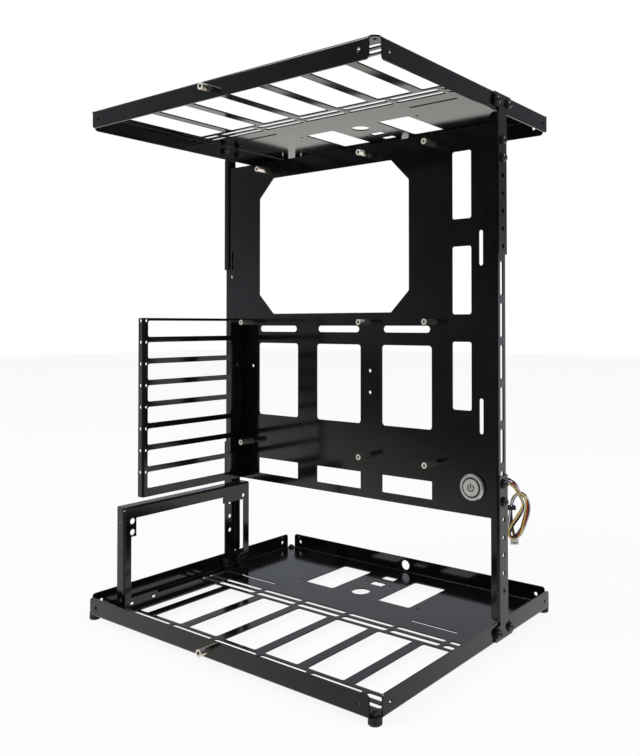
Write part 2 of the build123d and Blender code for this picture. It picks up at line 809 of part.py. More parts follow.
foot_screw_length = foot_height - foot_counterbore + sheet + m3_nut_thickness + thread_past_nut
with BuildPart() as foot_screws:
    for x, y in foot_places:
        seat = Plane((x, y, foot_counterbore), x_dir=right, z_dir=-up)
        screw(seat, foot_screw_length, m3, m3_head, m3_head_height)
finish(foot_screws, "foot_screws")

# The nuts of the feet have a flange
with BuildPart() as foot_nuts:
    for x, y in foot_places:
        seat = Plane((x, y, tray_floor), x_dir=right, z_dir=up)
        hex_nut(seat, m3_nut_flats, m3_nut_thickness, m3)
        washer(seat, m3_washer, m3)
finish(foot_nuts, "foot_nuts")

# Screws, washers and nuts of the brackets: on the trays, and on the panel
for name, places in {
    "bracket_tray": ear_screw_places,
    "bracket_panel": [(row_y, z) for z in panel_screw_zs],
}.items():
    outer_seats = []
    inner_seats = []
    for y, z in places:
        for side in (-1, 1):
            outer_seats.append(Plane((side * bracket_x, y, z), x_dir=back, z_dir=side * right))
            inner_seats.append(Plane((side * (half_width - sheet), y, z), x_dir=back, z_dir=-side * right))
    length = washer_thickness + bracket_sheet + sheet + m4_nut_thickness + thread_past_nut
    with BuildPart() as screws:
        for seat in outer_seats:
            screw(seat.offset(washer_thickness), length, m4, m4_head, m4_head_height)
    finish(screws, f"{name}_screws")
    with BuildPart() as washers:
        for seat in outer_seats:
            washer(seat, m4_washer, m4)
    finish(washers, f"{name}_washers")
    with BuildPart() as nuts:
        for seat in inner_seats:
            hex_nut(seat, m4_nut_flats, m4_nut_thickness, m4)
    finish(nuts, f"{name}_nuts")

# Screws and nuts that hold the slot frame to the panel and the power supply bracket to the tray
with BuildPart() as slot_frame_screws:
    for z in slot_fixing_zs:
        seat = Plane((slot_fixing_x, panel_y - sheet, z), x_dir=right, z_dir=-back)
        screw(seat, 2 * sheet + m3_nut_thickness + thread_past_nut, m3, m3_head, m3_head_height)
finish(slot_frame_screws, "slot_frame_screws")

with BuildPart() as slot_frame_nuts:
    for z in slot_fixing_zs:
        seat = Plane((slot_fixing_x, panel_back_y, z), x_dir=right, z_dir=back)
        hex_nut(seat, m3_nut_flats, m3_nut_thickness, m3)
finish(slot_frame_nuts, "slot_frame_nuts")

with BuildPart() as psu_bracket_screws:
    for y in psu_fixing_ys:
        seat = Plane((psu_fixing_x, y, tray_under - washer_thickness), x_dir=right, z_dir=-up)
        length = washer_thickness + 2 * sheet + m3_nut_thickness + thread_past_nut
        screw(seat, length, m3, m3_head, m3_head_height)
finish(psu_bracket_screws, "psu_bracket_screws")

with BuildPart() as psu_bracket_washers:
    for y in psu_fixing_ys:
        washer(Plane((psu_fixing_x, y, tray_under), x_dir=right, z_dir=-up), m4_washer, m3)
finish(psu_bracket_washers, "psu_bracket_washers")

with BuildPart() as psu_bracket_nuts:
    for y in psu_fixing_ys:
        seat = Plane((psu_fixing_x, y, tray_floor + sheet), x_dir=right, z_dir=up)
        hex_nut(seat, m3_nut_flats, m3_nut_thickness, m3)
finish(psu_bracket_nuts, "psu_bracket_nuts")

# Power button: turned pieces on one axis, as outlines of radius and depth behind the panel's face
button_plane = Plane((button_x, panel_y, button_z), x_dir=right, z_dir=up)
button_axis = Axis((button_x, panel_y, button_z), (0, 1, 0))


def turned(outline):
    """Revolve a closed outline of (radius, depth) points about the button's axis."""
    with BuildSketch(button_plane) as section:
        with BuildLine():
            Polyline(*outline, close=True)
        make_face()
    revolve(section.sketch, axis=button_axis)


with BuildPart() as button_housing:
    turned((
        (front_bore, bezel_front),
        (button_bezel / 2 - bezel_edge, bezel_front),
        (button_bezel / 2, bezel_front + bezel_edge),
        (button_bezel / 2, -seal_thickness),
        (barrel_radius, -seal_thickness),
        (barrel_radius, barrel_end),
        (rear_bore, barrel_end),
        (rear_bore, web_back),
        (stem_radius + slide_clearance, web_back),
        (stem_radius + slide_clearance, web_front),
        (front_bore, web_front),
    ))
finish(button_housing, "button_housing")

with BuildPart() as button_light_ring:
    turned((
        (ring_inner, bezel_front + ring_recess),
        (ring_outer, bezel_front + ring_recess),
        (ring_outer, web_front),
        (ring_inner, web_front),
    ))
finish(button_light_ring, "button_light_ring")

with BuildPart() as button_cap:
    turned((
        (0, cap_front),
        (cap_radius, cap_front),
        (cap_radius, cap_back),
        (stem_radius, cap_back),
        (stem_radius, stem_end),
        (0, stem_end),
    ))
finish(button_cap, "button_cap")

with BuildPart() as button_switch:
    turned((
        (stem_radius + slide_clearance, web_back),
        (rear_bore - bore_clearance, web_back),
        (rear_bore - bore_clearance, switch_end),
        (0, switch_end),
        (0, pocket_end),
        (stem_radius + slide_clearance, pocket_end),
    ))
finish(button_switch, "button_switch")

with BuildPart() as button_seal:
    turned((
        (barrel_radius + bore_clearance, -seal_thickness),
        (button_bezel / 2 - bezel_edge, -seal_thickness),
        (button_bezel / 2 - bezel_edge, 0),
        (barrel_radius + bore_clearance, 0),
    ))
finish(button_seal, "button_seal")

with BuildPart() as button_nut:
    seat = Plane((button_x, panel_back_y, button_z), x_dir=right, z_dir=back)
    hex_nut(seat, button_nut_flats, button_nut_thickness, button_barrel)
finish(button_nut, "button_nut")

with BuildPart() as button_plug:
    turned((
        (0, switch_end),
        (wire_plug_diameter / 2, switch_end),
        (wire_plug_diameter / 2, plug_end),
        (0, plug_end),
    ))
finish(button_plug, "button_plug")

# Lead: a limp bundle of wires from the plug to the tied hank
lead_start = Vector(button_x, panel_y + plug_end, button_z)
lead_points = [lead_start + Vector(*step) for step in lead_route]
runs = [b - a for a, b in zip(lead_points, lead_points[1:])]
lead_radii = []
for one, two in zip(runs, runs[1:]):
    half_turn = radians(one.get_angle(two)) / 2
    lead_radii.append(0.45 * min(one.length, two.length) / tan(half_turn))
print("lead radii", [round(radius, 1) for radius in lead_radii])
with BuildPart() as button_lead:
    with BuildLine() as route:
        FilletPolyline(*lead_points, radius=lead_radii)
    with BuildSketch(Plane(route.line @ 0, z_dir=route.line % 0)):
        Circle(lead_diameter / 2)
    sweep()
finish(button_lead, "button_lead")
lead_length = sum(edge.length for edge in route.edges())
print("lead volume ratio", button_lead.part.volume / (lead_length * pi * lead_diameter**2 / 4))

# Hank: the rest of the lead folded into a long loop, gathered to a neck at both ends
hank_across = right.rotate(Axis.Z, hank_turn)
hank_middle = lead_points[-1] - up * (hank_neck_length + hank_height / 2)
hank_plane = Plane(hank_middle, x_dir=hank_across, z_dir=hank_across.cross(up))
hank_level = Plane(hank_middle, x_dir=hank_across, z_dir=up)
with BuildPart() as wire_hank:
    with BuildSketch(hank_plane):
        SlotOverall(hank_height, hank_width, rotation=90)
        inner_height = hank_height - 2 * hank_strand
        inner_width = hank_width - 2 * hank_strand
        SlotOverall(inner_height, inner_width, rotation=90, mode=Mode.SUBTRACT)
    extrude(amount=hank_strand / 2, both=True)
    fillet(wire_hank.edges(), hank_strand * strand_rounding)
    with BuildSketch(hank_level.offset(hank_height / 2 + hank_neck_length)):
        Circle(hank_neck_diameter / 2)
    extrude(amount=-hank_neck_length - hank_strand / 2)
    with BuildSketch(hank_level.offset(-hank_height / 2 - hank_neck_length)):
        with Locations((-end_plug_side, 0)):
            Circle(hank_neck_diameter / 2)
    extrude(amount=hank_neck_length + hank_strand / 2)
finish(wire_hank, "wire_hank")

with BuildPart() as hank_tie:
    with BuildSketch(hank_level.offset(tie_rise)):
        for grow, mode in ((bore_clearance + tie_wall, Mode.ADD), (bore_clearance, Mode.SUBTRACT)):
            with Locations(((hank_strand - hank_width) / 2, 0)):
                across = hank_strand + 2 * grow
                RectangleRounded(across, across, tie_wall, mode=mode)
    extrude(amount=tie_width)
finish(hank_tie, "hank_tie")

with BuildPart() as lead_connector:
    with BuildSketch(hank_level.offset(-hank_height / 2 - hank_neck_length)):
        with Locations((-end_plug_side, 0)):
            RectangleRounded(end_plug_width, end_plug_depth, tie_wall)
    extrude(amount=-end_plug_height)
finish(lead_connector, "lead_connector")
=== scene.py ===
from math import atan2, cos, pi, radians, sin

import bmesh
import bpy
from mathutils import Matrix, Vector


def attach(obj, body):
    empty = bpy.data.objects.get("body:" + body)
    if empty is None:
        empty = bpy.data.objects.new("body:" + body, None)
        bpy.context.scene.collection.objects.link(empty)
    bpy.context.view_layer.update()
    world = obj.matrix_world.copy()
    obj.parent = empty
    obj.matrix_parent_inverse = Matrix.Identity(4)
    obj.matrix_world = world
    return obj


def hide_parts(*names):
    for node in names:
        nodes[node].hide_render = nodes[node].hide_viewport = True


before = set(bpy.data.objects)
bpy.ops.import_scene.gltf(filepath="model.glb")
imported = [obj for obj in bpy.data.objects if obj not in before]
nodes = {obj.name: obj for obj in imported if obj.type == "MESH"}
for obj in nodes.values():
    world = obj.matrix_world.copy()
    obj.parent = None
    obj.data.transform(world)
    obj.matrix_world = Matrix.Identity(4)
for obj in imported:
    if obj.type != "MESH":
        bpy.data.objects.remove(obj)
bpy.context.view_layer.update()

scene = bpy.context.scene
scene.view_settings.view_transform = "Standard"
MM = 0.001

# Camera, solved from the board's hole pattern in the photograph
IMAGE_WIDTH, IMAGE_HEIGHT = 640, 756
FOCAL_PIXELS = 793.495
AXIS_PIXEL = (371.26, 310.864)
SENSOR = 36.0
CAMERA_PLACE = (0.48268, -0.55787, 0.26895)
CAMERA_ANGLES = (90.986, 0.035, 37.057)

camera_data = bpy.data.cameras.new("photo_camera")
camera = bpy.data.objects.new("photo_camera", camera_data)
scene.collection.objects.link(camera)
scene.camera = camera
camera_data.sensor_fit = "VERTICAL"
camera_data.sensor_height = SENSOR
camera_data.lens = FOCAL_PIXELS / IMAGE_HEIGHT * SENSOR
camera_data.shift_x = (IMAGE_WIDTH / 2 - AXIS_PIXEL[0]) / IMAGE_HEIGHT
camera_data.shift_y = (AXIS_PIXEL[1] - IMAGE_HEIGHT / 2) / IMAGE_HEIGHT
camera_data.clip_start = 0.02
camera_data.clip_end = 50.0
camera.location = CAMERA_PLACE
camera.rotation_euler = [radians(angle) for angle in CAMERA_ANGLES]


# Node helpers
NOISE_ROUGHNESS = 0.55
RAMP_ENDS = (0.35, 0.65)            # where the noise reaches the first and the last colour
EDGE_SAMPLES = 6


def new_material(name):
    material = bpy.data.materials.new(name)
    material.use_nodes = True
    tree = material.node_tree
    return material, tree, tree.nodes["Principled BSDF"]


def stretched_place(tree, stretch):
    """Coordinates in metres, stretched along each axis."""
    where = tree.nodes.new("ShaderNodeTexCoord")
    mapping = tree.nodes.new("ShaderNodeMapping")
    mapping.inputs["Scale"].default_value = stretch
    tree.links.new(where.outputs["Object"], mapping.inputs["Vector"])
    return mapping.outputs["Vector"]


def noise(tree, vector, scale, detail):
    node = tree.nodes.new("ShaderNodeTexNoise")
    node.inputs["Scale"].default_value = scale
    node.inputs["Detail"].default_value = detail
    node.inputs["Roughness"].default_value = NOISE_ROUGHNESS
    tree.links.new(vector, node.inputs["Vector"])
    return node.outputs["Fac"]


def ramp(tree, factor, colours):
    node = tree.nodes.new("ShaderNodeValToRGB")
    for element, colour, position in zip(node.color_ramp.elements, colours, RAMP_ENDS):
        element.position = position
        element.color = (*colour, 1.0)
    tree.links.new(factor, node.inputs["Fac"])
    return node.outputs["Color"]


def spread(tree, factor, low, high, start=0.3, end=0.7):
    """A value that goes from low to high while the factor goes from start to end."""
    node = tree.nodes.new("ShaderNodeMapRange")
    node.inputs["From Min"].default_value = start
    node.inputs["From Max"].default_value = end
    node.inputs["To Min"].default_value = low
    node.inputs["To Max"].default_value = high
    tree.links.new(factor, node.inputs["Value"])
    return node.outputs["Result"]


def reckon(tree, operation, first, second):
    node = tree.nodes.new("ShaderNodeMath")
    node.operation = operation
    for socket, value in zip(node.inputs, (first, second)):
        if isinstance(value, float):
            socket.default_value = value
        else:
            tree.links.new(value, socket)
    return node.outputs[0]


def bump(tree, shader, height, strength, distance, edge):
    node = tree.nodes.new("ShaderNodeBump")
    node.inputs["Strength"].default_value = strength
    node.inputs["Distance"].default_value = distance
    tree.links.new(height, node.inputs["Height"])
    if edge:
        rounding = tree.nodes.new("ShaderNodeBevel")
        rounding.samples = EDGE_SAMPLES
        rounding.inputs["Radius"].default_value = edge
        tree.links.new(rounding.outputs["Normal"], node.inputs["Normal"])
    tree.links.new(node.outputs["Normal"], shader.inputs["Normal"])


FINE, COARSE = 0.00005, 0.0001      # heights of the grain in metres
CLOUD_DETAIL, GLOSS_DETAIL, GRAIN_DETAIL = 4.0, 3.0, 2.0
GLOSS_SCALE = 2.3                   # scale of the uneven gloss against that of the clouds


def grained(name, colours, cloud, roughness, grain, strength, distance=FINE, metallic=0.0,
            stretch=(1.0, 1.0, 1.0), edge=0.0):
    """A surface with cloudy colour, uneven gloss and a fine grain."""
    material, tree, shader = new_material(name)
    vector = stretched_place(tree, stretch)
    shader.inputs["Metallic"].default_value = metallic
    colour = ramp(tree, noise(tree, vector, cloud, CLOUD_DETAIL), colours)
    tree.links.new(colour, shader.inputs["Base Color"])
    gloss = spread(tree, noise(tree, vector, cloud * GLOSS_SCALE, GLOSS_DETAIL), *roughness)
    tree.links.new(gloss, shader.inputs["Roughness"])
    bump(tree, shader, noise(tree, vector, grain, GRAIN_DETAIL), strength, distance, edge)
    return material


coat = grained("black_gloss_coat", ((0.0028, 0.0028, 0.0031), (0.0052, 0.0052, 0.0055)),
               cloud=38.0, roughness=(0.10, 0.14), grain=1300.0, strength=0.03, edge=0.0003)
nickel = grained("bright_nickel", ((0.77, 0.71, 0.60), (0.92, 0.87, 0.77)), cloud=160.0,
                 roughness=(0.12, 0.20), grain=900.0, strength=0.05, metallic=1.0,
                 stretch=(4.0, 0.4, 4.0))
black_screw = grained("black_oxide", ((0.060, 0.060, 0.060), (0.110, 0.108, 0.104)), cloud=420.0,
                      roughness=(0.20, 0.32), grain=3200.0, strength=0.10, metallic=0.8)
rubber = grained("black_rubber", ((0.010, 0.010, 0.010), (0.022, 0.022, 0.022)), cloud=300.0,
                 roughness=(0.50, 0.70), grain=2600.0, strength=0.25, distance=COARSE)
steel = grained("turned_steel", ((0.72, 0.72, 0.71), (0.88, 0.88, 0.87)), cloud=260.0,
                roughness=(0.08, 0.18), grain=1500.0, strength=0.08, metallic=0.85)
cap_steel = grained("satin_cap", ((0.66, 0.64, 0.60), (0.80, 0.78, 0.73)), cloud=420.0,
                    roughness=(0.28, 0.40), grain=2600.0, strength=0.12, metallic=0.65,
                    stretch=(1.0, 1.0, 9.0))
ring_plastic = grained("smoky_ring", ((0.012, 0.013, 0.016), (0.030, 0.032, 0.038)), cloud=350.0,
                       roughness=(0.18, 0.30), grain=1800.0, strength=0.08)
black_plastic = grained("black_moulding", ((0.014, 0.014, 0.015), (0.028, 0.028, 0.030)),
                        cloud=240.0, roughness=(0.38, 0.54), grain=2200.0, strength=0.22,
                        distance=COARSE)
white_plastic = grained("white_moulding", ((0.66, 0.65, 0.61), (0.80, 0.79, 0.76)), cloud=260.0,
                        roughness=(0.38, 0.52), grain=2000.0, strength=0.15, distance=COARSE)
sign_paint = grained("sign_inlay", ((0.040, 0.034, 0.030), (0.075, 0.066, 0.060)), cloud=500.0,
                     roughness=(0.40, 0.55), grain=2600.0, strength=0.08, distance=0.00004)

# The sides of the stand-offs and pillars are polished. Their cut ends, square to Y, are made rough
# and mostly non-metallic so that they render light, a painted highlight on the tips
SIDE_METALLIC, TIP_HIGHLIGHT_METALLIC, TIP_HIGHLIGHT_ROUGHENING = 0.94, 0.3, 0.3
END_LIMITS = (0.7, 0.9)             # squares of the normal's Y, from a side to an end

tree = nickel.node_tree
shader = tree.nodes["Principled BSDF"]
facing = tree.nodes.new("ShaderNodeNewGeometry")
parts = tree.nodes.new("ShaderNodeSeparateXYZ")
tree.links.new(facing.outputs["Normal"], parts.inputs[0])
squared = reckon(tree, "MULTIPLY", parts.outputs["Y"], parts.outputs["Y"])
end = spread(tree, squared, 0.0, 1.0, *END_LIMITS)
polish = shader.inputs["Roughness"].links[0].from_socket
# Painted highlight on the tips: more roughness and less metallic where the normal is along Y
roughening_for_highlight = reckon(tree, "MULTIPLY", end, TIP_HIGHLIGHT_ROUGHENING)
tree.links.new(reckon(tree, "ADD", polish, roughening_for_highlight), shader.inputs["Roughness"])
metallic_with_highlight = spread(tree, end, SIDE_METALLIC, TIP_HIGHLIGHT_METALLIC, 0.0, 1.0)
tree.links.new(metallic_with_highlight, shader.inputs["Metallic"])

# Materials and rounded edges of the nodes
ROD_EDGE, NUT_EDGE, CONNECTOR_EDGE, LATCH_EDGE = 0.00035, 0.00025, 0.0003, 0.00008
EDGE_SEGMENTS, SHARP_ANGLE = 2, radians(50.0)


def rounded(piece, width):
    """Rounds the sharp edges of a small turned, pressed or moulded part."""
    modifier = piece.modifiers.new("edge_rounding", "BEVEL")
    modifier.width = width
    modifier.segments = EDGE_SEGMENTS
    modifier.limit_method = "ANGLE"
    modifier.angle_limit = SHARP_ANGLE


for name, node in nodes.items():
    if name.startswith("standoff_") and name[-1].isdigit() or name.endswith("pillar"):
        material = nickel
        rounded(node, ROD_EDGE)
    elif name.endswith("screws"):
        material = black_screw
    elif name.endswith(("nuts", "washers")):
        material = black_screw
        rounded(node, NUT_EDGE)
    elif name.endswith("foot") or name == "button_seal":
        material = rubber
    elif name == "button_cap":
        material = cap_steel
    elif name in ("button_housing", "button_nut"):
        material = steel
    elif name == "button_light_ring":
        material = ring_plastic
    elif name in ("button_switch", "button_plug", "hank_tie"):
        material = black_plastic
    elif name == "lead_connector":
        material = white_plastic
        rounded(node, CONNECTOR_EDGE)
    else:
        material = coat
    for slot in node.material_slots:
        slot.material = material


# Mesh helpers
def finished_mesh(name, bm):
    mesh = bpy.data.meshes.new(name)
    bm.to_mesh(mesh)
    bm.free()
    return mesh


def add_piece(name, bm, material):
    mesh = finished_mesh(name, bm)
    mesh.materials.append(material)
    piece = bpy.data.objects.new(name, mesh)
    scene.collection.objects.link(piece)
    return piece


def skin(bm, low, high):
    """A band of faces between two rings of as many points."""
    count = len(low)
    for k in range(count):
        bm.faces.new((low[k], low[(k + 1) % count], high[(k + 1) % count], high[k]))


def close(bm, low, high):
    """The two end faces of a skin."""
    bm.faces.new(high)
    bm.faces.new(list(reversed(low)))


# Screws: domed heads with a cross recess and a threaded shank, one for each solid of a screw node
SCREW_NODES = ("bracket_tray_screws", "bracket_panel_screws", "standoff_screws", "pillar_screws",
               "foot_screws", "slot_frame_screws", "psu_bracket_screws")
HEAD_POINTS, SHANK_POINTS = 40, 20
DOME_STEPS, DOME_CROWN = 9, 0.62
RIM, RIM_CHAMFER, HEAD_SEAT = 0.24, 0.05, 0.95      # shares of the head's height and radius
NECK = 0.6                                          # share of the shank's radius
# Recess: level as a share of the head's height, reach and half width as shares of its radius
RECESS = ((0.36, 0.20, 0.11), (1.2, 0.72, 0.15))
THREAD_PITCH = {3: 0.5 * MM, 4: 0.7 * MM}
THREAD_DEPTH, THREAD_STEPS = 0.18, 4                # share of the radius, rings in a turn
TIP = 0.78                                          # share of the radius left at the end
FIRST_TURN, NEXT_TURN = 0.4, 0.9                    # angles of the recesses, in radians
SPLIT_ANGLE = radians(38.0)
SAME_POINT, SAME_LEVEL = 1e-6, 1e-5                 # tolerances in metres
UNDER_HEAD = 0.9                                    # share of the radius that is head, not shank


def head_mesh(radius, height, neck):
    """A domed head over z = 0, with the cross recess cut into it."""
    bm = bmesh.new()
    profile = [(neck, 0.0), (radius * HEAD_SEAT, 0.0), (radius, RIM_CHAMFER * height),
               (radius, RIM * height)]
    for k in range(1, DOME_STEPS):
        angle = pi / 2 * k / DOME_STEPS
        profile.append((radius * cos(angle) ** DOME_CROWN,
                        height * (RIM + (1.0 - RIM) * sin(angle))))
    angles = [2 * pi * k / HEAD_POINTS for k in range(HEAD_POINTS)]
    rings = [[bm.verts.new((r * cos(angle), r * sin(angle), z)) for angle in angles]
             for r, z in profile]
    for low, high in zip(rings, rings[1:]):
        skin(bm, low, high)
    close(bm, rings[0], rings[-1])
    head = finished_mesh("head", bm)

    bm = bmesh.new()
    levels = []
    for level, reach, half in RECESS:
        corners = [Vector((reach, half)), Vector((half, half)), Vector((half, reach))]
        cross = [Matrix.Rotation(quarter * pi / 2, 2) @ corner * radius
                 for quarter in range(4) for corner in corners]
        levels.append([bm.verts.new((*place, level * height)) for place in cross])
    skin(bm, *levels)
    close(bm, *levels)
    cutter = finished_mesh("cutter", bm)

    holder = bpy.data.objects.new("head_holder", head)
    tool = bpy.data.objects.new("cutter_holder", cutter)
    for item in (holder, tool):
        scene.collection.objects.link(item)
    cut = holder.modifiers.new("recess", "BOOLEAN")
    cut.operation = "DIFFERENCE"
    cut.solver = "EXACT"
    cut.object = tool
    evaluated = holder.evaluated_get(bpy.context.evaluated_depsgraph_get())
    result = bpy.data.meshes.new_from_object(evaluated)
    for item, mesh in ((holder, head), (tool, cutter)):
        bpy.data.objects.remove(item)
        bpy.data.meshes.remove(mesh)
    return result


def add_shank(bm, radius, length, pitch):
    """A threaded shank from z = 0 down, with a tapered tip."""
    steps = int(length / pitch * THREAD_STEPS)
    rings = []
    for j in range(steps + 1):
        z = -length * j / steps
        tip = min(1.0, TIP + (1.0 - TIP) * (length + z) / pitch)
        ring = []
        for k in range(SHANK_POINTS):
            phase = (z / pitch - k / SHANK_POINTS) % 1.0
            r = radius * (1.0 - THREAD_DEPTH * abs(2 * phase - 1.0)) * tip
            angle = 2 * pi * k / SHANK_POINTS
            ring.append(bm.verts.new((r * cos(angle), r * sin(angle), z)))
        rings.append(ring)
    for high, low in zip(rings, rings[1:]):
        skin(bm, low, high)
    close(bm, rings[-1], rings[0])


def islands(mesh):
    """The separate solids of a mesh, each as its list of points."""
    bm = bmesh.new()
    bm.from_mesh(mesh)
    bmesh.ops.remove_doubles(bm, verts=bm.verts, dist=SAME_POINT)
    seen = set()
    found = []
    for start in bm.verts:
        if start in seen:
            continue
        seen.add(start)
        stack, points = [start], []
        while stack:
            vert = stack.pop()
            points.append(vert.co.copy())
            for edge in vert.link_edges:
                other = edge.other_vert(vert)
                if other not in seen:
                    seen.add(other)
                    stack.append(other)
        found.append(points)
    bm.free()
    return found


def measure_screw(points):
    """Seat, direction of the head, head radius and height, shank radius and length of a screw."""
    low = Vector([min(p[i] for p in points) for i in range(3)])
    high = Vector([max(p[i] for p in points) for i in range(3)])
    size = high - low
    middle = (low + high) / 2
    # The other two sides of its box are equal
    along = min(range(3), key=lambda i: abs(size[(i + 1) % 3] - size[(i + 2) % 3]))
    direction = Vector([1.0 if i == along else 0.0 for i in range(3)])
    half = size[along] / 2

    def level_of(p):
        return (p - middle).dot(direction)

    def radius_of(p):
        return (p - middle - direction * level_of(p)).length

    top = max(radius_of(p) for p in points if level_of(p) > half - SAME_LEVEL)
    bottom = max(radius_of(p) for p in points if -level_of(p) > half - SAME_LEVEL)
    if bottom >= top:
        direction = -direction
    widest = max(radius_of(p) for p in points)
    seat = min(level_of(p) for p in points if radius_of(p) > UNDER_HEAD * widest)
    return middle + direction * seat, direction, widest, half - seat, min(top, bottom), half + seat


heads = {}
for name in SCREW_NODES:
    bm = bmesh.new()
    for number, points in enumerate(islands(nodes[name].data)):
        seat, direction, widest, height, shank, length = measure_screw(points)
        key = (round(widest, 5), round(height, 5))
        if key not in heads:
            heads[key] = head_mesh(widest, height, shank * NECK)
        one = bmesh.new()
        one.from_mesh(heads[key])
        add_shank(one, shank, length, THREAD_PITCH[round(2 * shank / MM)])
        turn = Matrix.Rotation(FIRST_TURN + NEXT_TURN * number, 4, "Z")
        aim = direction.to_track_quat("Z", "Y").to_matrix().to_4x4()
        place = Matrix.Translation(seat) @ aim @ turn
        bmesh.ops.transform(one, matrix=place, verts=one.verts)
        mesh = finished_mesh("one_screw", one)
        bm.from_mesh(mesh)
        bpy.data.meshes.remove(mesh)
    screws = add_piece(name + "_detailed", bm, black_screw)
    screws.data.shade_smooth()
    split = screws.modifiers.new("sharp_edges", "EDGE_SPLIT")
    split.split_angle = SPLIT_ANGLE
    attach(screws, "frame")
    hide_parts(name)
for mesh in heads.values():
    bpy.data.meshes.remove(mesh)

# Power sign on the cap, in millimetres: an open arc and a bar
BUTTON = Vector((142.02, 33.3, 130.0))
SIGN_OUTER, SIGN_STROKE, SIGN_GAP = 3.35, 1.1, 44.0
BAR_TOP, BAR_BOTTOM = 3.4, -0.4
SIGN_PROUD, SIGN_SUNK = 0.06, 0.1
ARC_STEPS, BAR_STEPS = 40, 4
END_ANGLES = (pi / 3, pi / 6, 0.0, -pi / 6, -pi / 3)


def add_strip(bm, line, half):
    """A flat raised strip along a line in the cap's face, with rounded ends."""
    left, right = [], []
    first, last = line[1] - line[0], line[-1] - line[-2]
    inner = [after - before for before, after in zip(line, line[2:])]
    for place, step in zip(line, [first, *inner, last]):
        side = Vector((-step.y, step.x)).normalized() * half
        left.append(place + side)
        right.append(place - side)

    def round_end(centre, step):
        angle = atan2(step.y, step.x)
        return [centre + half * Vector((cos(angle + a), sin(angle + a))) for a in END_ANGLES]

    outline = left + round_end(line[-1], last)
    outline += list(reversed(right)) + round_end(line[0], -first)
    rows = []
    for depth in (SIGN_SUNK, -SIGN_PROUD):
        rows.append([bm.verts.new((BUTTON + Vector((p.x, depth, p.y))) * MM) for p in outline])
    skin(bm, *rows)
    close(bm, *rows)


arc = []
for k in range(ARC_STEPS + 1):
    angle = radians(90.0 + SIGN_GAP + (360.0 - 2 * SIGN_GAP) * k / ARC_STEPS)
    arc.append((SIGN_OUTER - SIGN_STROKE / 2) * Vector((cos(angle), sin(angle))))
bar = [Vector((0.0, BAR_TOP - (BAR_TOP - BAR_BOTTOM) * k / BAR_STEPS))
       for k in range(BAR_STEPS + 1)]
bm = bmesh.new()
for line in (arc, bar):
    add_strip(bm, line, SIGN_STROKE / 2)
bmesh.ops.recalc_face_normals(bm, faces=bm.faces)
sign = add_piece("power_sign", bm, sign_paint)
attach(sign, "button")

# Wires of the button's lead, in millimetres: they leave the plug side by side, hang over and lie
# in a loose tied hank
LEAD = [(142.02, 67.3, 130.0), (142.02, 75.6, 129.8), (147.6, 82.6, 129.6),
        (153.4, 86.0, 128.0), (158.2, 87.1, 123.0), (160.4, 87.8, 117.6)]
LEAD_SPREAD = (1.0, 1.1, 1.7, 1.9, 1.4, 0.9)
LEVEL_POINTS = 4                    # the lead's first points, before it hangs down
HANK = Vector((160.02, 87.5, 96.5))
HANK_TURN = radians(37.0)
ACROSS = Vector((cos(HANK_TURN), sin(HANK_TURN), 0.0))
THROUGH = Vector((-sin(HANK_TURN), cos(HANK_TURN), 0.0))
UP = Vector((0.0, 0.0, 1.0))
WIRE_DIAMETER = 1.25

# Places across and up from the middle of the hank, in the order that a wire runs through them
WIDE_TURN = [(0.8, 23.2), (4.6, 22.0), (7.6, 18.6), (8.8, 12.0), (8.4, 5.0), (6.2, -2.0),
             (3.6, -8.4), (0.6, -14.4), (-2.7, -17.8), (-6.9, -17.9), (-9.7, -15.0),
             (-10.2, -9.4), (-9.2, -1.0), (-8.0, 8.0), (-6.4, 15.4), (-3.6, 20.6)]
SLIM_TURN = [(0.6, 21.8), (4.0, 20.4), (6.2, 16.8), (6.6, 11.0), (5.4, 4.0), (3.6, -3.0),
             (1.8, -9.0), (-0.4, -13.8), (-2.9, -16.5), (-6.2, -16.7), (-8.7, -14.4),
             (-9.4, -9.6), (-8.4, -2.0), (-7.2, 6.0), (-5.6, 14.0), (-3.0, 19.8)]
CROSS_TURN = [(4.0, 13.5), (1.8, 8.0), (-1.2, 3.0), (-4.4, -2.0), (-7.4, -6.6), (-9.4, -11.4),
              (-9.0, -15.2), (-6.2, -17.9), (-2.3, -17.5), (0.6, -14.4), (2.8, -8.6),
              (4.8, -2.0), (6.4, 5.0), (6.8, 11.6), (6.0, 17.2), (3.8, 20.8)]
BACK_TURN = [(0.2, 22.6), (-3.2, 21.4), (-6.0, 17.6), (-7.4, 12.0), (-8.0, 5.0), (-8.6, -3.0),
             (-9.4, -9.6), (-9.0, -14.6), (-6.4, -17.8), (-2.4, -17.8), (0.6, -14.8),
             (2.8, -9.0), (5.4, -2.0), (7.2, 5.5), (7.8, 12.0), (7.0, 17.4), (4.2, 21.2)]
RIGHT_TAIL = [(0.8, 22.6), (4.4, 21.4), (6.8, 18.0), (7.4, 12.0), (6.6, 5.0), (4.8, -2.0),
              (2.2, -8.0), (-1.0, -12.6)]
LEFT_TAIL = [(0.2, 22.4), (-3.4, 20.8), (-5.8, 17.0), (-7.0, 11.0), (-7.6, 4.0), (-7.2, -4.0),
             (-6.0, -10.0), (-4.6, -14.0)]
PLUG_IN = [(-4.0, -17.4), (-4.0, -20.5)]
# The lead comes down into a wire's first turn, so a wide or slim one starts below its top there
WIDE_START, SLIM_START = WIDE_TURN[2:], SLIM_TURN[2:]

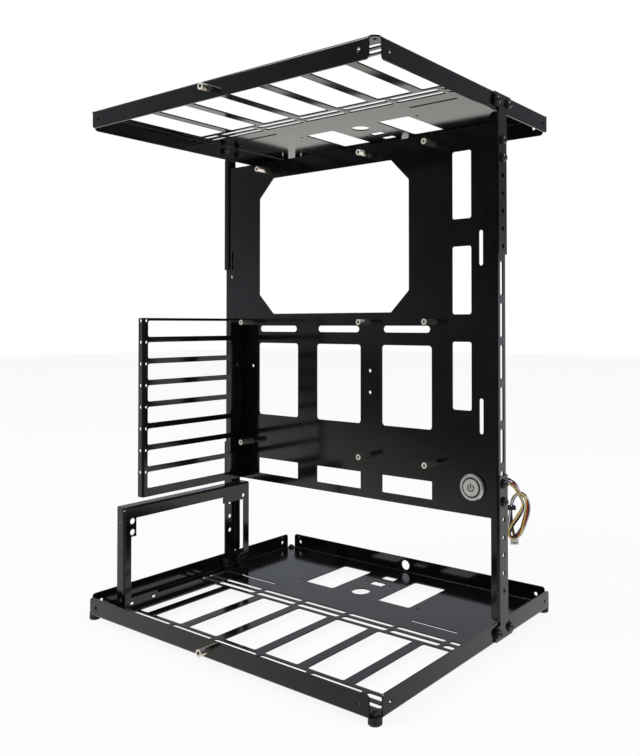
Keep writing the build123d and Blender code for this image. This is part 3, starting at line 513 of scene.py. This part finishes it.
WIRES = [
    # name, colours, step in the bundle, two turns and a tail, and for each of these three its
    # widening, shift and depth
    ("wire_yellow", ((0.58, 0.40, 0.03), (0.74, 0.54, 0.08)), (-1.3, -0.7),
     (CROSS_TURN, BACK_TURN, LEFT_TAIL),
     ((0.0, -1.6, -3.4), (0.3, 0.4, 1.4), (0.6, 1.2, 0.6))),
    ("wire_orange", ((0.46, 0.10, 0.02), (0.62, 0.16, 0.03)), (-0.4, 0.3),
     (CROSS_TURN, BACK_TURN, LEFT_TAIL),
     ((-0.2, 1.6, -0.2), (0.0, -0.8, 1.6), (0.0, 1.0, -0.6))),
    ("wire_red", ((0.32, 0.02, 0.02), (0.46, 0.04, 0.03)), (0.5, -0.2),
     (SLIM_START, WIDE_TURN, RIGHT_TAIL),
     ((0.3, 0.6, 1.4), (-0.2, -0.4, 0.6), (-0.2, 0.4, -3.2))),
    ("wire_white", ((0.62, 0.60, 0.56), (0.78, 0.76, 0.71)), (1.2, -0.8),
     (WIDE_START, SLIM_TURN, RIGHT_TAIL),
     ((0.4, 0.2, -3.0), (0.2, 0.8, 1.9), (0.6, 0.0, -0.6))),
    # A pale wire along the yellow ones that also paints the highlights on the yellow strands
    ("wire_cream", ((0.56, 0.51, 0.40), (0.70, 0.65, 0.53)), (-0.1, -1.4),
     (CROSS_TURN, BACK_TURN, LEFT_TAIL),
     ((0.2, 0.2, -1.9), (0.6, 0.2, 0.4), (0.2, -0.8, 1.6))),
    ("wire_purple", ((0.08, 0.06, 0.17), (0.14, 0.10, 0.26)), (1.3, 0.6),
     (WIDE_START, SLIM_TURN, RIGHT_TAIL),
     ((-0.4, 0.9, -2.4), (0.4, -1.2, -0.9), (0.8, 0.6, 1.9))),
    ("wire_blue", ((0.02, 0.05, 0.16), (0.04, 0.08, 0.24)), (-1.3, 0.7),
     (WIDE_START, WIDE_TURN, RIGHT_TAIL),
     ((-0.2, 0.2, 1.2), (-0.6, 0.9, -0.2), (0.0, 0.4, 0.4))),
    # A black wire that also paints the shade in the gaps between the strands
    ("wire_black", ((0.012, 0.012, 0.014), (0.024, 0.024, 0.026)), (0.1, 1.4),
     (CROSS_TURN, BACK_TURN, LEFT_TAIL),
     ((0.0, 3.0, -1.2), (-0.3, 0.6, -0.3), (0.2, 1.6, -2.0))),
]
EASE = (2, 5, 5)                    # points over which a wire takes up each row of offsets
FULL_WIDENING = 4.0                 # distance from the middle where the widening is full
SHIFT_LEVEL, SHIFT_REACH = 2.0, 26.0
LOOSENESS, POINT_PHASE, WIRE_PHASE = 0.12, 1.3, 2.1
TIE = (-7.6, 7.5)                   # place of the tie, across and up
TIE_REACH, TIE_SIDE, TIE_PINCH = 9.0, -5.0, 0.5
PLUG_SPREAD = (1.3, 0.6)


def hank_place(place, offsets, loose):
    """A wire's point in the hank: spread from the turn's place, and gathered near the tie."""
    a, b = place
    widening, shift, depth = offsets
    across = a + widening * max(-1.0, min(1.0, a / FULL_WIDENING)) * loose
    across += shift * (1.0 - abs(b - SHIFT_LEVEL) / SHIFT_REACH)
    pinch = 0.0
    if a < TIE_SIDE:
        pinch = TIE_PINCH * max(0.0, 1.0 - abs(b - TIE[1]) / TIE_REACH)
    across += pinch * (TIE[0] - across)
    return HANK + ACROSS * across + UP * b + THROUGH * depth * loose * (1.0 - pinch)


for number, (name, colours, bundle, route, offsets) in enumerate(WIRES):
    points = []
    for k, (place, share) in enumerate(zip(LEAD, LEAD_SPREAD)):
        other = UP if k < LEVEL_POINTS else THROUGH
        points.append(Vector(place) + share * (bundle[0] * ACROSS + bundle[1] * other))
    before = (0.0, 0.0, LEAD_SPREAD[-1] * bundle[1])
    for places, now, ease in zip(route, offsets, EASE):
        for k, place in enumerate(places):
            eased = min(1.0, (k + 1) / ease)
            blended = [x + (y - x) * eased for x, y in zip(before, now)]
            loose = 1.0 + LOOSENESS * sin(POINT_PHASE * k + WIRE_PHASE * number)
            points.append(hank_place(place, blended, loose))
        before = now
    for a, b in PLUG_IN:
        across = a + PLUG_SPREAD[0] * bundle[0]
        points.append(HANK + ACROSS * across + UP * b + THROUGH * PLUG_SPREAD[1] * bundle[1])
    curve = bpy.data.curves.new(name, "CURVE")
    curve.dimensions = "3D"
    curve.bevel_depth = WIRE_DIAMETER / 2 * MM
    curve.bevel_resolution = 3
    curve.resolution_u = 6
    curve.use_fill_caps = True
    spline = curve.splines.new("NURBS")
    spline.points.add(len(points) - 1)
    for point, place in zip(spline.points, points):
        point.co = (*(place * MM), 1.0)
    spline.order_u = 3
    spline.use_endpoint_u = True
    wire = bpy.data.objects.new(name, curve)
    scene.collection.objects.link(wire)
    curve.materials.append(grained(name + "_insulation", colours, cloud=600.0,
                                   roughness=(0.24, 0.36), grain=1500.0, strength=0.08))
    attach(wire, "frame")
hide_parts("button_lead", "wire_hank")

# Latch and ribs of the connector at the lead's end, set on its housing, and black blocks that
# paint the shade inside its contact windows
CONNECTOR = HANK + ACROSS * PLUG_IN[-1][0] + UP * PLUG_IN[-1][1]
CONNECTOR_HALF_DEPTH = 1.75
SET_IN = 0.1
RIB_STEPS, RIB_RISE, RIB_SIZE, RIB_TAPER = (-2.8, 2.8), -0.3, (0.5, 4.0, 0.4), 0.8
# Black blocks at the contact windows, painted shade in the openings
WINDOW_STEPS, WINDOW_RISE = (-1.5, -0.5, 0.5, 1.5), -0.9
WINDOW_SIZE, WINDOW_TAPER = (0.8, 1.5, 0.13), 0.95
LATCH_RISE, LATCH_SIZE, LATCH_TAPER = 1.5, (3.2, 1.1, 0.55), 0.75


def add_block(bm, face, across, rise, size, taper):
    """A small block on the connector's front (-1) or back (1), narrower at its outer face."""
    seat = face * (CONNECTOR_HALF_DEPTH - SET_IN)
    middle = CONNECTOR + ACROSS * across + UP * rise + THROUGH * seat
    low, high = [], []
    for side_a, side_b in ((-1, -1), (1, -1), (1, 1), (-1, 1)):
        corner = ACROSS * side_a * size[0] / 2 + UP * side_b * size[1] / 2
        low.append(bm.verts.new((middle + corner) * MM))
        high.append(bm.verts.new((middle + corner * taper + THROUGH * face * size[2]) * MM))
    skin(bm, low, high)
    close(bm, low, high)


def connector_piece(name, blocks, material):
    bm = bmesh.new()
    for block in blocks:
        add_block(bm, *block)
    bmesh.ops.recalc_face_normals(bm, faces=bm.faces)
    piece = add_piece(name, bm, material)
    rounded(piece, LATCH_EDGE)
    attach(piece, "frame")


ribs = [(face, step, RIB_RISE, RIB_SIZE, RIB_TAPER) for face in (-1, 1) for step in RIB_STEPS]
latch = (-1, 0.0, LATCH_RISE, LATCH_SIZE, LATCH_TAPER)
# Painted shade in the contact windows
window_shade_blocks = [(face, step, WINDOW_RISE, WINDOW_SIZE, WINDOW_TAPER)
           for face in (-1, 1) for step in WINDOW_STEPS]
connector_piece("connector_latch", [*ribs, latch], white_plastic)
connector_piece("connector_window_shade", window_shade_blocks, black_plastic)

# Floor, light and background. The studio is white low down at the back and dim in front and
# above, as the coat's reflections show
FLOOR_HALF = 6.0
FLOOR_GLOW = 0.9                    # share of plain white in the floor that the camera sees
WHITE = (1.0, 1.0, 1.0, 1.0)
FLOOR_COLOUR = (0.92, 0.92, 0.92, 1.0)
FLOOR_TINT, SKY_TINT = (1.0, 1.0, 0.95, 1.0), (0.86, 0.91, 1.0, 1.0)
FILL_STRENGTH = 0.5
BACKWARD = (-0.6, 0.8, 0.0)
# Strength at the front and at the back, and from where to where it changes
FLOOR_FADE, SKY_FADE = (0.12, 1.0, -0.45, 0.05), (0.10, 1.0, -0.42, 0.20)
UPPER_FADE = (0.46, 0.20, -0.45, 0.75)      # share left above the horizon, from left to right
HORIZON = (0.03, 0.13)


def toward_back(tree, vector, fade):
    node = tree.nodes.new("ShaderNodeVectorMath")
    node.operation = "DOT_PRODUCT"
    node.inputs[1].default_value = BACKWARD
    tree.links.new(vector, node.inputs[0])
    return spread(tree, node.outputs["Value"], *fade)


def reflected_rays(tree, path):
    return reckon(tree, "MAXIMUM", path.outputs["Is Glossy Ray"],
                  path.outputs["Is Transmission Ray"])


def mixed(tree, factor, first, second):
    node = tree.nodes.new("ShaderNodeMixShader")
    tree.links.new(factor, node.inputs["Fac"])
    tree.links.new(first, node.inputs[1])
    tree.links.new(second, node.inputs[2])
    return node.outputs[0]


floor_mesh = bpy.data.meshes.new("floor")
corners = [(x * FLOOR_HALF, y * FLOOR_HALF, 0.0) for x, y in ((-1, -1), (1, -1), (1, 1), (-1, 1))]
floor_mesh.from_pydata(corners, [], [(0, 1, 2, 3)])
floor = bpy.data.objects.new("floor", floor_mesh)
scene.collection.objects.link(floor)

floor_material, tree, shader = new_material("white_floor")
shader.inputs["Base Color"].default_value = FLOOR_COLOUR
shader.inputs["Roughness"].default_value = 0.9
path = tree.nodes.new("ShaderNodeLightPath")
where = tree.nodes.new("ShaderNodeTexCoord")
white = tree.nodes.new("ShaderNodeEmission")
mirrored = tree.nodes.new("ShaderNodeEmission")
mirrored.inputs["Color"].default_value = FLOOR_TINT
strength = toward_back(tree, where.outputs["Object"], FLOOR_FADE)
tree.links.new(strength, mirrored.inputs["Strength"])
share = reckon(tree, "MULTIPLY", path.outputs["Is Camera Ray"], FLOOR_GLOW)
plain = mixed(tree, share, shader.outputs[0], white.outputs[0])
surface = mixed(tree, reflected_rays(tree, path), plain, mirrored.outputs[0])
tree.links.new(surface, tree.nodes["Material Output"].inputs["Surface"])
floor_mesh.materials.append(floor_material)

world = bpy.data.worlds.new("studio")
scene.world = world
world.use_nodes = True
tree = world.node_tree
fill = tree.nodes["Background"]
fill.inputs["Color"].default_value = WHITE
fill.inputs["Strength"].default_value = FILL_STRENGTH
white = tree.nodes.new("ShaderNodeBackground")
white.inputs["Color"].default_value = WHITE
white.inputs["Strength"].default_value = 1.0
mirrored = tree.nodes.new("ShaderNodeBackground")
mirrored.inputs["Color"].default_value = SKY_TINT
path = tree.nodes.new("ShaderNodeLightPath")
where = tree.nodes.new("ShaderNodeTexCoord")
parts = tree.nodes.new("ShaderNodeSeparateXYZ")
tree.links.new(where.outputs["Generated"], parts.inputs[0])
around = toward_back(tree, where.outputs["Generated"], SKY_FADE)
above = spread(tree, parts.outputs["X"], *UPPER_FADE)
rise = spread(tree, parts.outputs["Z"], 0.0, 1.0, *HORIZON)
loss = reckon(tree, "MULTIPLY", rise, reckon(tree, "SUBTRACT", 1.0, above))
height = reckon(tree, "SUBTRACT", 1.0, loss)
tree.links.new(reckon(tree, "MULTIPLY", around, height), mirrored.inputs["Strength"])
seen = mixed(tree, reflected_rays(tree, path), fill.outputs[0], mirrored.outputs[0])
whole = mixed(tree, path.outputs["Is Camera Ray"], seen, white.outputs[0])
tree.links.new(whole, tree.nodes["World Output"].inputs["Surface"])

LIGHT_TARGET = Vector((0.0, 0.0, 0.2))
# name, place and size in metres, power in watts
LIGHTS = (("key", (-1.2, -1.5, 2.2), 1.4, 34.0), ("side", (1.9, 0.4, 1.5), 1.2, 16.0))
for name, place, size, power in LIGHTS:
    data = bpy.data.lights.new(name, "AREA")
    data.energy = power
    data.shape = "DISK"
    data.size = size
    lamp = bpy.data.objects.new(name, data)
    scene.collection.objects.link(lamp)
    lamp.location = place
    lamp.rotation_euler = (LIGHT_TARGET - Vector(place)).to_track_quat("-Z", "Y").to_euler()
